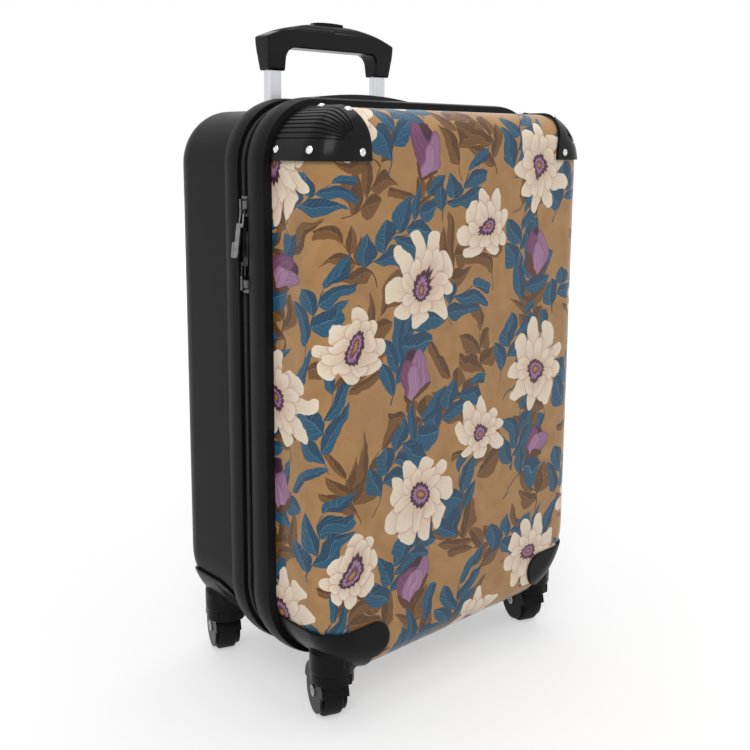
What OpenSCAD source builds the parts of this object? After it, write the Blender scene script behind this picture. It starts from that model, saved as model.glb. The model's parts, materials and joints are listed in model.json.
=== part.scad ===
// Hard-shell cabin trolley case: two moulded halves joined by a zip, four swivelling casters, a
// two-stage telescopic handle, a sprung carry handle and ribbed guards on the front top corners.
// Millimetres. X runs to the right of the case, Y to its back, Z up; the floor is at Z = 0.

/* [Case] */
// Width over the rims
case_w = 350; // [320:1:380]
// Height over the rims
case_h = 500; // [470:1:540]
// Height of the rims' underside above the floor
case_z = 37; // [36:0.5:42]
// Depth of the front half, from its face to the zip gap
front_d = 89; // [84:1:110]
// Depth of the rear half, from the zip gap to its back
rear_d = 115; // [110:1:140]
// Shift of the halves towards the front, so that the trailing casters are centred too
front_shift = 4; // [2:0.5:6]
// Radius of the rims' top corners
top_r = 57; // [50:1:65]
// Radius of the rims' bottom corners
bottom_r = 78; // [72:1:85]
// How far the rims stand out from the shells
rim_proud = 9.5; // [7:0.5:12]
// Wall of a rim
rim_t = 2; // [1.5:0.1:3]
// Width of the front rim's outer band
front_band = 21; // [16:1:24]
// Width of the rear rim's outer band
rear_band = 18; // [14:1:22]
// Length of the sloping shoulder from a rim's band down to its shell
rim_shoulder = 1.5; // [0.5:0.5:4]
// Radius of the crown across a rim's band
rim_crown = 34; // [30:1:60]
// Wall of the shells
shell_t = 2.2; // [1.5:0.1:3]
// Radius of the shells' front and back edges
edge_r = 26; // [22:1:30]
// Gap between pieces that lie against each other
seat_gap = 0.1; // [0.05:0.05:0.2]
// Gap between pieces that move past each other
run_gap = 0.4; // [0.3:0.1:0.6]

/* [Zip] */
// Gap between the two rims, where the zip lies
zip_gap = 14; // [13:0.5:18]
// Height of the zip tape above the shells' outside
tape_lift = 3.5; // [3:0.5:5]
// Thickness of the zip tape
tape_t = 0.8; // [0.5:0.1:1]
// Diameter of each half's coil
coil_d = 2.6; // [2:0.1:3]
// Slit between the two coils
coil_slit = 1.2; // [1:0.1:1.6]
// Length of a slider
slider_l = 17; // [15:0.5:18]
// Width of a slider
slider_w = 10; // [8:0.5:11]
// Height of the upper slider above the floor
upper_slider_z = 447; // [440:1:450]
// Height of the lower slider above the floor
lower_slider_z = 383; // [360:1:384]
// Length of a pull from its crossbar to its tip
pull_l = 40; // [34:0.5:41]
// Thickness of a pull
pull_t = 1.8; // [1.4:0.1:2]
// How far the upper pull hangs away from the case
upper_pull_lean = 8; // [8:0.5:10]
// How far the lower pull, turned upwards, leans on the case
lower_pull_lean = 1.5; // [0.5:0.5:1.5]

/* [Lining] */
// Thickness of the lining
lining_t = 0.8; // [0.6:0.1:1.2]
// Depth of the space behind the rear lining, where the handle's tubes run
tube_space = 34; // [32:1:40]

/* [Corner guards] */
// Thickness of a corner guard
guard_t = 3; // [2.4:0.1:3.6]
// Depth of the grooves between a guard's ribs
groove_d = 0.9; // [0.5:0.1:1.2]
// Width of the grooves
groove_w = 1.5; // [1:0.1:2]
// Number of grooves
groove_n = 9; // [6:1:11]
// Drop of a guard's lower edge below the top of the shell
guard_drop = 42.5; // [38:0.5:50]
// Distance that a guard reaches along the front
guard_reach = 46.5; // [44:0.5:52]
// Radius of a guard's edge on the front
guard_edge_r = 100; // [90:1:120]
// Radius of the rivet heads
rivet_r = 3.6; // [3:0.1:4.2]
// Height of the rivet heads
rivet_h = 1.5; // [1:0.1:2]

/* [Trolley handle] */
// Distance between the two tubes
tube_pitch = 135; // [125:1:145]
// Distance from the tubes to the back of the case
tube_back = 23; // [21.5:0.5:26]
// Width of the inner tubes
tube_w = 16; // [14:0.5:17]
// Depth of the inner tubes
tube_d = 10; // [9:0.5:11]
// Wall of the tubes
tube_t = 1.2; // [1:0.1:1.5]
// Play between one tube and the next
tube_play = 0.3; // [0.2:0.05:0.4]
// How far the grip stands above its stowed place
grip_raise = 69; // [40:1:90]
// Height of the grip
grip_h = 47.5; // [44:0.5:52]
// Width of the grip at its shoulders
grip_w = 161; // [156:0.5:170]
// Front to back thickness of the grip
grip_d = 22; // [20:0.5:24]
// Thickness of the grip's bar at its middle
bar_h = 25.5; // [24:0.5:28]
// Drop of the grip's top from its middle to its shoulders
grip_arch = 16; // [10:0.5:18]
// Length of the release button
button_l = 36; // [28:1:44]
// Width of the release button
button_w = 11; // [9:0.5:12]
// How far the button stands above the grip
button_proud = 1.6; // [1:0.1:2.5]
// Travel of the release button
button_travel = 3; // [2:0.5:4]
// Depth of the pocket that the grip stows into
pocket_d = 32; // [28:1:36]
// Wall of the pocket
pocket_t = 1.8; // [1.4:0.1:2.4]

/* [Carry handle] */
// Distance from the carry handle's middle to the back of the case
carry_back = 65; // [60:1:72]
// Length of the carry handle
carry_l = 176; // [160:1:190]
// Width of the carry handle
carry_w = 24; // [20:0.5:28]
// Thickness of the carry handle
carry_t = 6; // [5:0.5:6.5]
// Height of the handle's top above the shell
carry_rise = 18; // [17.5:0.5:21]
// Rise of the arch over the handle's length
carry_arch = 9.5; // [8:0.5:10]
// How far the handle lifts
carry_lift = 18; // [12:1:20]

/* [Casters] */
// Diameter of the wheels
wheel_d = 46; // [42:0.5:46.5]
// Width of the wheels
wheel_w = 18; // [14:0.5:19]
// Trail of a wheel behind its swivel axis
trail = 15; // [13:0.5:16]
// Angle that the casters have turned to
caster_turn = 21; // [0:1:45]
// Distance from a swivel axis to the side of the case
caster_side = 40; // [38:0.5:42]
// Distance from a swivel axis to the front or back of the case
caster_end = 28; // [27.5:0.5:32]
// Outer radius of a wheel well
well_r = 20; // [19:0.5:22]
// Wall of the wheel housings
housing_t = 2.2; // [1.8:0.1:2.6]
// Height of a housing's upper edge above the bottom of the shell
housing_h = 48; // [40:1:56]
// Distance that a housing reaches along the front
housing_reach = 71; // [64:1:80]
// Radius of the kingpins
kingpin_r = 4; // [3:0.1:5]
// Radius of the wheel axles
axle_r = 3; // [2.5:0.1:4]
// Clearance of a turning bore round its pin
bore_play = 0.05; // [0.03:0.01:0.08]

/* [Hidden] */
$fn = 96;
eps = 0.01;
black = [0.15, 0.14, 0.15];
soft_black = [0.2, 0.19, 0.2];
ochre = [0.69, 0.52, 0.33];
steel = [0.78, 0.79, 0.8];
grey_cloth = [0.3, 0.3, 0.32];

// Places of the halves along Y
y_front = -(front_d + zip_gap + rear_d) / 2 - front_shift;
y_zip0 = y_front + front_d;
y_zip1 = y_zip0 + zip_gap;
y_zip = (y_zip0 + y_zip1) / 2;
y_back = y_zip1 + rear_d;
mid_z = case_z + case_h / 2;

// Outline of the shells
shell_w = case_w - 2 * rim_proud;
shell_h = case_h - 2 * rim_proud;
shell_top_r = top_r - rim_proud;
shell_bottom_r = bottom_r - rim_proud;
shell_top = mid_z + shell_h / 2;
shell_bottom = mid_z - shell_h / 2;
shell_side = shell_w / 2;
shell_lip = rim_t + seat_gap;

// Zip
tape_x = shell_side + tape_lift;
coil_r = coil_d / 2;
coil_y = zip_gap / 2 - coil_slit / 2 - coil_r;
plate_t = 1.2;
plate_gap = coil_r + run_gap;
bridge_w = 2.6;
bridge_l = 12;
bridge_t = 1.4;
bridge_gap = 3;
bar_r = 1;
bar_x = plate_gap + plate_t + bridge_gap / 2;
bar_seat = bridge_l / 2 - bridge_t - bar_r - 0.2;
arm_in = bridge_w / 2 + run_gap;
arm_out = arm_in + 1.6;
arm_l = 11;
pull_slit = 0.3;
pull_w = zip_gap / 2 - pull_slit - 0.7;
tip_r = 2;

// Trolley
mid_tube_w = tube_w + 2 * (tube_t + tube_play);
mid_tube_d = tube_d + 2 * (tube_t + tube_play);
out_tube_w = mid_tube_w + 2 * (tube_t + tube_play);
out_tube_d = mid_tube_d + 2 * (tube_t + tube_play);
tube_round = 3;
tube_x = tube_pitch / 2;
tube_y = y_back - tube_back;
pocket_floor_t = 3;
bezel_lip = 2;
pocket_z = shell_top + bezel_lip - pocket_d;
stowed_z = pocket_z + run_gap;
grip_z = stowed_z + grip_raise;
socket_l = 20;
base_z = shell_bottom + shell_t + run_gap;
base_h = 20;
tube_foot = base_z + 10;
stage_foot = 5;
collar_h = 8;
inner_foot = tube_foot + 2 * stage_foot;
plug_h = 14;
plug_in = tube_t + seat_gap;
leg_w = tube_w + 4;
leg_d = tube_d + 5;
yoke_h = 4;
channel_z = grip_h - bar_h + 2;
channel_h = yoke_h + button_travel + 2 * run_gap;
yoke_z = channel_z + button_travel + run_gap;
rod_r = 1.4;
rod_foot = inner_foot + grip_raise - grip_z + button_travel + run_gap;
pocket_w = grip_w + 3;
pocket_deep = grip_d + 3;

// Carry handle
carry_y = y_back - carry_back;
carry_top = shell_top + carry_rise;
arch_r = (carry_l * carry_l / 4 + carry_arch * carry_arch) / (2 * carry_arch);
leg_t = 5;
leg_l = carry_lift + 8;
foot_h = 3;
foot_out = 1.2;
guide_t = 1.5;
mount_lip = 1.2;

// Casters
wheel_r = wheel_d / 2;
caster_x = case_w / 2 - caster_side;
caster_front = y_front + caster_end;
caster_rear = y_back - caster_end;
hood_in = wheel_r + 1;
hood_out = hood_in + 1.4;
turn_r = trail + hood_out + 2 * run_gap;
cheek_in = wheel_w / 2 + 0.8;
cheek_t = 2.6;
crown_top = wheel_r + hood_out + 1.3;
crown_r = well_r - 1;
neck_z = crown_top - 9.5;
well_z = crown_top + run_gap;
roof_z = well_z + 19;
boss_r = 9;
pin_head = 1.6;
pin_cap = 2;
hub_wall = 6;
hub_recess = 2.5;
yoke_over = 3;
yoke_w = 8;
pin_head_r = kingpin_r + 2;
pin_foot = wheel_r + sqrt(pow(hood_in, 2) - pow(trail - pin_head_r, 2)) + pin_head;
axle_head = 1.2;
caster_list = [[-1, caster_front], [1, caster_front], [-1, caster_rear], [1, caster_rear]];
rear_arch_r = 84;
rear_arch_back = 40;
rear_arch_y = y_back - rear_arch_back;
rear_arch_z = shell_bottom + housing_h + 2 - rear_arch_r;

// A half's own frame: its outline lies in X and Y, and Z runs from the zip gap to the closed face.
module front_half() translate([0, y_zip0, mid_z]) rotate([90, 0, 0]) children();
module rear_half() translate([0, y_zip1, mid_z]) mirror([0, 1, 0]) rotate([90, 0, 0]) children();
module on_side(s) mirror([s > 0 ? 1 : 0, 0, 0]) children();

// Outline of a half: a rectangle whose top corners are tighter than its bottom ones, grown by off.
module outline(off) {
  w = shell_side + off;
  top = shell_top_r + off;
  bottom = shell_bottom_r + off;
  low = -shell_h / 2 - off;
  high = shell_h / 2 + off;
  translate([-w, low + bottom]) square([2 * w, high - low - top - bottom]);
  translate([top - w, high - top]) square([2 * (w - top), top]);
  translate([bottom - w, low]) square([2 * (w - bottom), bottom]);
  for (x = [-1, 1]) {
    translate([x * (w - top), high - top]) circle(top);
    translate([x * (w - bottom), low + bottom]) circle(bottom);
  }
}

// Sweeps a profile round that outline. The profile's x is measured outwards from the shell's outside
// and its y is the depth. The right side may be left out.
module sweep(right = true) {
  side_l = shell_h - shell_top_r - shell_bottom_r;
  for (x = [0, 1]) mirror([x, 0, 0]) {
    translate([shell_top_r - shell_side, shell_h / 2 - shell_top_r, 0]) rotate(90)
      rotate_extrude(angle = 90) translate([shell_top_r, 0]) children();
    translate([shell_bottom_r - shell_side, shell_bottom_r - shell_h / 2, 0]) rotate(180)
      rotate_extrude(angle = 90) translate([shell_bottom_r, 0]) children();
    if (x == 0 || right)
      translate([-shell_side, shell_bottom_r - shell_h / 2, 0]) rotate([90, 0, 180])
        linear_extrude(side_l) children();
  }
  translate([shell_top_r - shell_side, shell_h / 2, 0]) rotate([90, 0, 90])
    linear_extrude(shell_w - 2 * shell_top_r) children();
  translate([shell_side - shell_bottom_r, -shell_h / 2, 0]) rotate([90, 0, -90])
    linear_extrude(shell_w - 2 * shell_bottom_r) children();
}

// One layer of a shell of depth d: its outside lies off beyond the shell's own, and it is t thick.
module shell_layer(d, off, t, lip) {
  translate([0, 0, lip]) linear_extrude(d - edge_r - lip) difference() {
    outline(off);
    outline(off - t);
  }
  translate([0, 0, d - edge_r]) sweep() translate([-edge_r, 0]) intersection() {
    difference() {
      circle(edge_r + off);
      circle(edge_r + off - t);
    }
    square(edge_r + off);
  }
  translate([0, 0, d + off - t]) linear_extrude(t) outline(-edge_r);
}

// The whole body that a shell encloses, with its outside off beyond the shell's own.
module shell_body(d, off) {
  linear_extrude(d - edge_r) outline(off);
  translate([0, 0, d - edge_r]) {
    linear_extrude(edge_r + off) outline(-edge_r);
    sweep() translate([-edge_r, 0]) intersection() {
      circle(edge_r + off);
      square(edge_r + off);
    }
  }
}

module rounded_square(w, d, r) {
  square([w - 2 * r, d], center = true);
  square([w, d - 2 * r], center = true);
  for (x = [-1, 1], y = [-1, 1]) translate([x * (w / 2 - r), y * (d / 2 - r)]) circle(r);
}

module wells() {
  for (c = caster_list)
    translate([c[0] * caster_x, c[1], 0]) cylinder(r = well_r + run_gap, h = roof_z + pin_cap + run_gap);
}

// Room that the grip's pocket takes out of the rear shell and lining.
module pocket_hole() {
  room = pocket_t + seat_gap;
  translate([-pocket_w / 2 - room, tube_y - pocket_deep / 2 - room, pocket_z - pocket_floor_t - seat_gap])
    cube([pocket_w + 2 * room, pocket_deep + 2 * room, pocket_d * 2]);
}

module carry_guides() {
  for (s = [-1, 1])
    translate([s * (carry_l / 2 - leg_t / 2), carry_y, shell_top - leg_l])
      linear_extrude(leg_l + carry_rise)
        square([leg_t + 2 * (foot_out + guide_t + run_gap) + run_gap,
                carry_w + 2 * (guide_t + run_gap)], center = true);
}

// Rear half
module rear_shell() color(black) difference() {
  rear_half() shell_layer(rear_d, 0, shell_t, shell_lip);
  wells();
  carry_guides();
  pocket_hole();
}

// Hollow rim trim: a crowned outer band, a shoulder down to the shell and a wall along the zip gap.
module rim(band) {
  sweep() intersection() {
    polygon([
      [-shell_t, 0], [rim_proud, 0], [rim_proud, band], [seat_gap, band + rim_shoulder],
      [seat_gap, band + rim_shoulder - 2 * rim_t], [rim_proud - 2 * rim_t, band - rim_t],
      [rim_proud - 2 * rim_t, rim_t], [-shell_t, rim_t]
    ]);
    translate([rim_proud - rim_crown, band / 2]) circle(rim_crown);
  }
}

module zip_tape() {
  sweep(right = false)
    translate([tape_lift - tape_t / 2, seat_gap + coil_r - coil_y])
      square([tape_t, coil_y - coil_r - seat_gap]);
}

module zip_coil() {
  sweep(right = false) translate([tape_lift, -coil_y]) circle(coil_r);
}

module rear_rim() color(soft_black) rear_half() rim(rear_band);
module rear_zip_tape() color(black) rear_half() zip_tape();
module rear_zip_coil() color(soft_black) rear_half() zip_coil();

module rear_lining() color(grey_cloth) difference() {
  rear_half() intersection() {
    union() {
      shell_layer(rear_d, -shell_t - run_gap, lining_t, shell_lip);
      translate([0, 0, rear_d - tube_space]) intersection() {
        translate([-case_w, -case_h, 0]) cube([2 * case_w, 2 * case_h, lining_t]);
        translate([0, 0, tube_space - rear_d]) shell_body(rear_d, -shell_t - run_gap - lining_t / 2);
      }
    }
    translate([-case_w, -case_h, 0]) cube([2 * case_w, 2 * case_h, rear_d - tube_space + lining_t]);
  }
  wells();
  carry_guides();
  pocket_hole();
}

module hinge_gusset() color(grey_cloth)
  translate([shell_side + tape_lift - tape_t / 2, y_zip0 + run_gap, case_z + bottom_r])
    cube([tape_t, zip_gap - run_gap, case_h - top_r - bottom_r]);

// Pocket in the top of the rear half, with a flange that follows the shell.
module trolley_bezel() color(black) difference() {
  union() {
    translate([-pocket_w / 2 - pocket_t, tube_y - pocket_deep / 2 - pocket_t, pocket_z - pocket_floor_t])
      cube([pocket_w + 2 * pocket_t, pocket_deep + 2 * pocket_t, pocket_d + pocket_floor_t]);
    intersection() {
      rear_half() shell_layer(rear_d, seat_gap + bezel_lip, bezel_lip, shell_lip);
      translate([-pocket_w / 2 - 4 * pocket_t, tube_y - pocket_deep / 2 - 4 * pocket_t, pocket_z])
        cube([pocket_w + 8 * pocket_t, pocket_deep + 6 * pocket_t, pocket_d * 2]);
    }
  }
  translate([-pocket_w / 2, tube_y - pocket_deep / 2, pocket_z])
    cube([pocket_w, pocket_deep, pocket_d * 2]);
  for (s = [-1, 1])
    translate([s * tube_x, tube_y, pocket_z - pocket_floor_t - 1])
      linear_extrude(pocket_floor_t + 2)
        rounded_square(mid_tube_w + 2 * tube_play, mid_tube_d + 2 * tube_play, tube_round + tube_play);
}

module tube(s, w, d, r, z0, z1) {
  translate([s * tube_x, tube_y, z0]) linear_extrude(z1 - z0) difference() {
    rounded_square(w, d, r);
    rounded_square(w - 2 * tube_t, d - 2 * tube_t, r - tube_t);
  }
}

module outer_tube(s) color(steel)
  tube(s, out_tube_w, out_tube_d, tube_round + 2 * tube_t, tube_foot, pocket_z - pocket_floor_t - seat_gap);

// Bracket on the floor of the rear half, with a socket for each outer tube.
module trolley_base() color(black) difference() {
  intersection() {
    translate([-tube_x - out_tube_w, tube_y - out_tube_d, base_z])
      cube([2 * tube_x + 2 * out_tube_w, 2 * out_tube_d, base_h]);
    rear_half() shell_body(rear_d, -shell_t - seat_gap);
    rear_half() translate([-case_w, -case_h, rear_d - tube_space + lining_t + run_gap])
      cube([2 * case_w, 2 * case_h, tube_space]);
  }
  for (s = [-1, 1])
    translate([s * tube_x, tube_y, tube_foot - seat_gap]) linear_extrude(base_h)
      rounded_square(out_tube_w + 2 * seat_gap, out_tube_d + 2 * seat_gap, tube_round + 2 * tube_t);
  translate([-tube_x + out_tube_w, tube_y - 2 * out_tube_d, base_z + base_h / 2])
    cube([2 * tube_x - 2 * out_tube_w, 4 * out_tube_d, base_h]);
  wells();
}

// Guide that a leg of the carry handle slides in, with a lip on the outside of the shell.
module carry_mount(s) color(black) {
  w = leg_t + 2 * (foot_out + run_gap);
  d = carry_w + 2 * run_gap;
  translate([s * (carry_l / 2 - leg_t / 2), carry_y, 0]) difference() {
    union() {
      translate([0, 0, shell_top - leg_l]) linear_extrude(leg_l + seat_gap)
        square([w + 2 * guide_t, d + 2 * guide_t - 2 * seat_gap], center = true);
      translate([0, 0, shell_top + seat_gap]) linear_extrude(mount_lip)
        rounded_square(w + 4 * guide_t, d + 6 * guide_t, 2 * guide_t);
    }
    translate([0, 0, shell_top - leg_l + guide_t]) linear_extrude(leg_l - guide_t + seat_gap)
      square([w, d], center = true);
    translate([0, 0, shell_top - eps]) linear_extrude(mount_lip * 2)
      square([leg_t + 2 * run_gap, carry_w - 2 * foot_out - 2], center = true);
  }
}

// Front half
module front_shell() color(ochre) difference() {
  front_half() shell_layer(front_d, 0, shell_t, shell_lip);
  wells();
}

module front_rim() color(soft_black) front_half() rim(front_band);
module front_zip_tape() color(black) front_half() zip_tape();
module front_zip_coil() color(soft_black) front_half() zip_coil();

module front_lining() color(grey_cloth) difference() {
  front_half() shell_layer(front_d, -shell_t - run_gap, lining_t, shell_lip);
  wells();
}

// Ribbed guard over a top corner of the front half. The grooves fan out from its inner lower corner
// on the front and run level over the side.
guard_z = shell_top - guard_drop;
guard_edge_x = guard_reach - shell_side - guard_edge_r;
fan_x = guard_reach - shell_side - 17.5;
fan_z = guard_z + 15.5;
fan_in = 6;
fan_out = 66;

module guard_area() {
  translate([0, y_zip0 - front_band - rim_shoulder - run_gap, 0]) rotate([90, 0, 0])
    linear_extrude(front_d) intersection() {
      translate([guard_edge_x, guard_z]) circle(guard_edge_r);
      translate([guard_edge_x - guard_edge_r, guard_z]) square(2 * guard_edge_r);
    }
}

module groove_fan() {
  for (i = [0:groove_n - 1])
    translate([fan_x, y_zip0, fan_z]) rotate([0, 4 + i * 96 / groove_n, 0])
      translate([-fan_out, -2 * front_d, -groove_w / 2]) cube([fan_out - fan_in, 2 * front_d, groove_w]);
}

module corner_guard(s) color(soft_black) on_side(s) difference() {
  intersection() {
    front_half() shell_layer(front_d, seat_gap + guard_t, guard_t, shell_lip);
    guard_area();
  }
  difference() {
    groove_fan();
    front_half() shell_body(front_d, seat_gap + guard_t - groove_d);
  }
}

// Hollow rivet head: a low dome with a dimple.
module rivet() rotate_extrude() difference() {
  intersection() {
    square([rivet_r, rivet_h]);
    translate([0, rivet_h - 1.25 * rivet_r]) circle(1.25 * rivet_r);
  }
  translate([0, rivet_h]) circle(rivet_r / 3);
}

// Seats a rivet on a left guard: on the front, or round the corner, where turn goes from the side to
// the top, dip towards the front and back along the depth.
module rivet_on_front(x, z) translate([x, y_front - guard_t - 2 * seat_gap, z]) rotate([90, 0, 0]) rivet();
module rivet_on_corner(turn, dip, back)
  translate([shell_top_r - shell_side, y_front + edge_r + back, shell_top - shell_top_r])
    rotate([0, turn, 0]) translate([edge_r - shell_top_r, 0, 0]) rotate([0, 0, dip])
      translate([-edge_r - guard_t - 2 * seat_gap, 0, 0]) rotate([0, -90, 0]) rivet();

front_side_d = front_d - edge_r - front_band - rim_shoulder;

module guard_rivets() color(steel) for (s = [-1, 1]) on_side(s) {
  rivet_on_front(guard_reach - shell_side - 10, guard_z + 7);
  rivet_on_corner(16, 16, 0);
  rivet_on_corner(16, 0, front_side_d - 2 * rivet_r);
  rivet_on_corner(76, 0, front_side_d / 2);
  rivet_on_corner(75, 27, 0);
}

// Wheel housing: a moulded flange round a bottom corner and a well that takes the caster's crown.
module housing_area() {
  rotate([90, 0, 0]) linear_extrude(4 * (front_d + rear_d), center = true) {
    translate([-case_w, case_z - 10])
      square([case_w - shell_side + housing_reach - 17, rim_proud + housing_h + 10]);
    translate([-shell_side + housing_reach - 17, shell_bottom + housing_h - 17]) circle(17);
  }
}

// Room under a housing for the whole turn of its caster.
module turn_room(y) {
  translate([-caster_x, y, 0]) {
    cylinder(r = well_r - eps, h = roof_z - 2 * eps);
    cylinder(r = turn_r, h = well_z);
  }
}

module well(s, y) {
  translate([s * caster_x, y, well_z]) difference() {
    cylinder(r = well_r, h = roof_z - well_z);
    translate([0, 0, -eps]) cylinder(r = well_r - housing_t, h = roof_z - well_z - housing_t);
    cylinder(r = kingpin_r + bore_play, h = 2 * roof_z);
  }
}

module front_housing(s) color(soft_black) on_side(s) {
  difference() {
    intersection() {
      front_half() shell_layer(front_d, seat_gap + housing_t, housing_t, front_band + rim_shoulder + run_gap);
      housing_area();
    }
    turn_room(caster_front);
  }
  well(-1, caster_front);
}

module rear_housing(s) color(soft_black) on_side(s) {
  difference() {
    intersection() {
      rear_half() shell_layer(rear_d, seat_gap + housing_t, housing_t, rear_band + rim_shoulder + run_gap);
      housing_area();
      translate([0, rear_arch_y, rear_arch_z]) rotate([0, 90, 0])
        cylinder(r = rear_arch_r, h = 2 * case_w, center = true);
      translate([-case_w, y_back - 2 * rear_d - run_gap, 0]) cube([2 * case_w, 2 * rear_d, case_h]);
    }
    turn_room(caster_rear);
  }
  well(-1, caster_rear);
}

// Kingpin: riveted through a well's roof, with a flange under the fork's boss.
module kingpin(s, y) color(steel) translate([s * caster_x, y, 0]) {
  translate([0, 0, pin_foot]) cylinder(r = kingpin_r, h = roof_z - pin_foot);
  translate([0, 0, roof_z]) cylinder(r = kingpin_r + 3, h = pin_cap);
  translate([0, 0, pin_foot - pin_head]) cylinder(r = pin_head_r, h = pin_head);
}

// Trolley
module middle_tube(s) color(steel)
  tube(s, mid_tube_w, mid_tube_d, tube_round + tube_t, tube_foot + stage_foot,
       pocket_z - collar_h - seat_gap);

module middle_collar(s) color(black)
  translate([s * tube_x, tube_y, pocket_z - collar_h]) linear_extrude(collar_h) difference() {
    rounded_square(mid_tube_w, mid_tube_d, tube_round + tube_t);
    rounded_square(tube_w + 2 * tube_play, tube_d + 2 * tube_play, tube_round + tube_play);
  }

module inner_tube(s) color(steel)
  tube(s, tube_w, tube_d, tube_round, inner_foot + grip_raise, grip_z + socket_l);

module inner_plug(s) color(black)
  translate([s * tube_x, tube_y, inner_foot + grip_raise - plug_h / 2]) difference() {
    union() {
      linear_extrude(plug_h / 2 - seat_gap) rounded_square(tube_w, tube_d, tube_round);
      linear_extrude(plug_h) rounded_square(tube_w - 2 * plug_in, tube_d - 2 * plug_in, tube_round - tube_t);
    }
    translate([0, 0, plug_h / 2 - 2]) cylinder(r = rod_r + run_gap, h = plug_h);
  }

// Outline of the grip from the front: an arched bar on two legs, with a hand opening between them.
module grip_outline() {
  arch = (grip_w * grip_w / 4 + grip_arch * grip_arch) / (2 * grip_arch);
  shoulder_z = grip_h - grip_arch;
  foot_x = tube_x + leg_w / 2;
  hand_x = tube_x - leg_w / 2;
  corner = 10;
  difference() {
    intersection() {
      polygon([[-foot_x, 0], [foot_x, 0], [grip_w / 2, shoulder_z], [grip_w / 2, grip_h],
               [-grip_w / 2, grip_h], [-grip_w / 2, shoulder_z]]);
      translate([0, grip_h - arch]) circle(arch, $fn = 240);
    }
    translate([-hand_x + corner, -1]) square([2 * (hand_x - corner), grip_h - bar_h + 1]);
    translate([-hand_x, -1]) square([2 * hand_x, grip_h - bar_h - corner + 1]);
    for (s = [-1, 1]) translate([s * (hand_x - corner), grip_h - bar_h - corner]) circle(corner);
  }
}

// Section of the grip from the side: round at the top, slim at the feet of the legs.
module grip_section() {
  round_r = grip_d / 2 - 1;
  polygon([[-leg_d / 2, 0], [leg_d / 2, 0], [grip_d / 2, grip_h - bar_h], [grip_d / 2, grip_h - round_r],
           [-grip_d / 2, grip_h - round_r], [-grip_d / 2, grip_h - bar_h]]);
  translate([-1, grip_h - round_r]) square([2, round_r]);
  for (s = [-1, 1]) translate([s, grip_h - round_r]) circle(round_r);
}

module grip() color(black) translate([0, tube_y, grip_z]) difference() {
  intersection() {
    rotate([90, 0, 0]) linear_extrude(2 * grip_d, center = true) grip_outline();
    rotate([90, 0, 90]) linear_extrude(2 * grip_w, center = true) grip_section();
  }
  for (s = [-1, 1]) translate([s * tube_x, 0, -1]) linear_extrude(socket_l + 1 + seat_gap)
    rounded_square(tube_w + 2 * seat_gap, tube_d + 2 * seat_gap, tube_round + seat_gap);
  // Channel of the release yoke, down into both tubes
  translate([-tube_x - 4, -4 - run_gap, channel_z]) cube([2 * tube_x + 8, 8 + 2 * run_gap, channel_h]);
  for (s = [-1, 1])
    translate([s * tube_x, 0, socket_l]) cylinder(r = rod_r + run_gap, h = channel_z - socket_l + 1);
  translate([-button_l / 2 - run_gap, -button_w / 2 - run_gap, channel_z])
    cube([button_l + 2 * run_gap, button_w + 2 * run_gap, 2 * grip_h]);
}

// Button with the grip's own arch on its top.
module release_button() color(soft_black) translate([0, tube_y, grip_z]) intersection() {
  translate([0, 0, yoke_z + yoke_h + seat_gap]) linear_extrude(2 * grip_h)
    rounded_square(button_l, button_w, 3);
  translate([0, 0, button_proud]) rotate([90, 0, 0]) linear_extrude(2 * grip_d, center = true) grip_outline();
}

// Bar under the button, with a rod down each inner tube to its lock.
module release_yoke() color(steel) translate([0, tube_y, grip_z]) {
  translate([-tube_x - yoke_over, -yoke_w / 2, yoke_z]) cube([2 * tube_x + 2 * yoke_over, yoke_w, yoke_h]);
  for (s = [-1, 1])
    translate([s * tube_x, 0, rod_foot]) cylinder(r = rod_r, h = yoke_z - rod_foot + eps);
}

// Carry handle: an arched strap whose legs slide in the two mounts.
module carry_handle() color(soft_black) translate([0, carry_y, 0]) {
  leg_top = carry_top - carry_arch;
  translate([0, 0, carry_top - arch_r]) rotate([90, 0, 0]) linear_extrude(carry_w, center = true)
    intersection() {
      difference() {
        circle(arch_r, $fn = 360);
        circle(arch_r - carry_t, $fn = 360);
      }
      translate([-carry_l / 2, 0]) square([carry_l, 2 * arch_r]);
    }
  for (s = [-1, 1]) translate([s * (carry_l / 2 - leg_t / 2), 0, 0]) {
    translate([0, 0, shell_top - leg_l + guide_t + run_gap])
      linear_extrude(leg_top - carry_t / 2 - shell_top + leg_l - guide_t - run_gap)
        square([leg_t, carry_w - 2 * foot_out - 2 - 2 * run_gap], center = true);
    translate([0, 0, shell_top - leg_l + guide_t + run_gap]) linear_extrude(foot_h)
      square([leg_t + 2 * foot_out, carry_w], center = true);
  }
}

// Zip sliders and pulls, on the left side. Local x runs outwards from the tape and z up.
module at_zip(z) translate([-tape_x, y_zip, z]) rotate([0, 0, 180]) children();

module zip_slider(z) color(steel) at_zip(z) {
  for (x = [plate_gap, -plate_gap - plate_t])
    translate([x, 0, 0]) rotate([90, 0, 90]) linear_extrude(plate_t) {
      square([slider_w - 2, slider_l], center = true);
      square([slider_w, slider_l - 6], center = true);
    }
  translate([-plate_gap - eps, -coil_slit / 4, -slider_l / 4])
    cube([2 * plate_gap + 2 * eps, coil_slit / 2, slider_l / 2]);
  difference() {
    translate([plate_gap + plate_t - eps, -bridge_w / 2, -bridge_l / 2])
      cube([bridge_gap + bridge_t + eps, bridge_w, bridge_l]);
    translate([plate_gap + plate_t - 2 * eps, -bridge_w, bridge_t - bridge_l / 2])
      cube([bridge_gap + 2 * eps, 2 * bridge_w, bridge_l - 2 * bridge_t]);
  }
}

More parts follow.
